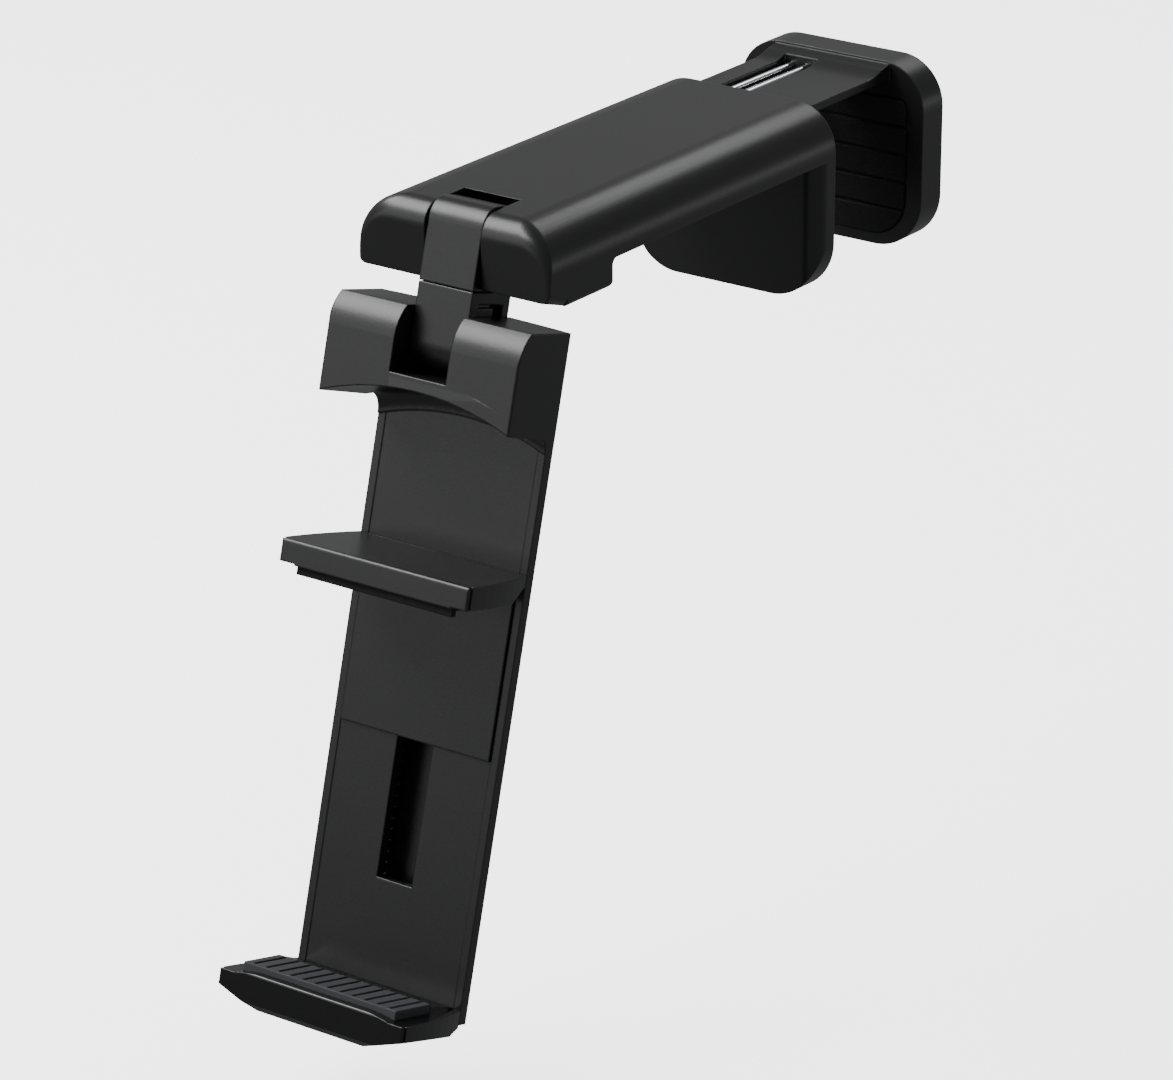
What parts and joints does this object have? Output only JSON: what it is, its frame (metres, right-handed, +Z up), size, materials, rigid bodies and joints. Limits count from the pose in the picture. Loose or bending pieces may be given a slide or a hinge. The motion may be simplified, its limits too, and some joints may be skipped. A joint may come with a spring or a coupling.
{
  "type": "clamp_on_device_holder",
  "caption": "Clamp-on travel holder: spring clamp arm, pin-jointed link with swivel, and a hanging spring grip that holds a flat handheld device sideways",
  "frame": {"origin": "middle of the near jaw's clamping face, on the part's plane of symmetry", "axes": "+X to the right when facing the hanging grip, +Y along the arm from the grip to the clamp and out of the near jaw face, +Z up"},
  "size_m": [0.045, 0.1885, 0.1564],
  "materials": {
    "satin_black": "fine satin moulding",
    "glossy_black": "smooth glossy moulding",
    "pad_rubber": "matt ribbed",
    "grip_rubber": "matt ribbed, dark grey",
    "chrome_rod": "polished",
    "steel": "plain zinc"
  },
  "bodies": {
    "base": {"arm_body": "satin_black", "arm_bottom_cover": "satin_black", "arm_cover_screws": "steel", "near_jaw_pad": "pad_rubber", "arm_hinge_pin": "steel", "arm_pin_cap": "satin_black", "clamp_springs": "steel"},
    "slider": {"far_jaw": "satin_black", "far_jaw_pad": "pad_rubber", "guide_rods": "chrome_rod", "slide_end_block": "satin_black", "slide_end_screws": "steel"},
    "tongue": {"upper_link": "satin_black", "swivel_screw": "steel"},
    "link": {"lower_link": "satin_black", "swivel_washer": "steel"},
    "holder": {"holder_head": "satin_black", "head_hinge_pin": "steel", "head_pin_cap": "satin_black", "rear_cover": "satin_black", "rear_cover_screws": "steel", "grip_springs": "steel", "lower_jaw": "glossy_black", "lower_jaw_screws": "steel", "lower_jaw_pad": "grip_rubber"},
    "grip": {"upper_jaw": "satin_black", "upper_jaw_pad": "pad_rubber", "spring_crossbar": "satin_black", "crossbar_screws": "steel"}
  },
  "joints": [
    {"name": "clamp_slide", "type": "slide", "parent": "base", "child": "slider", "axis": [0, 1, 0], "range_m": [-0.0272, 0.02], "stiffness_N_per_m": 200, "springref_m": -0.0272, "deforming": ["clamp_springs"]},
    {"name": "arm_hinge", "type": "hinge", "parent": "base", "child": "tongue", "pos_m": [0, -0.0911, 0.0152], "axis": [1, 0, 0], "range_deg": [-75, 30]},
    {"name": "swivel", "type": "hinge", "parent": "tongue", "child": "link", "pos_m": [0, -0.09446, 0.00652], "axis": [0, 0.2588, 0.9659], "continuous": true},
    {"name": "head_tilt", "type": "hinge", "parent": "link", "child": "holder", "pos_m": [0, -0.09735, -0.00425], "axis": [1, 0, 0], "range_deg": [-90, 30]},
    {"name": "grip_slide", "type": "slide", "parent": "holder", "child": "grip", "axis": [0, 0.2588, 0.9659], "range_m": [-0.028, 0.023], "stiffness_N_per_m": 100, "springref_m": -0.028, "deforming": ["grip_springs"]}
  ]
}
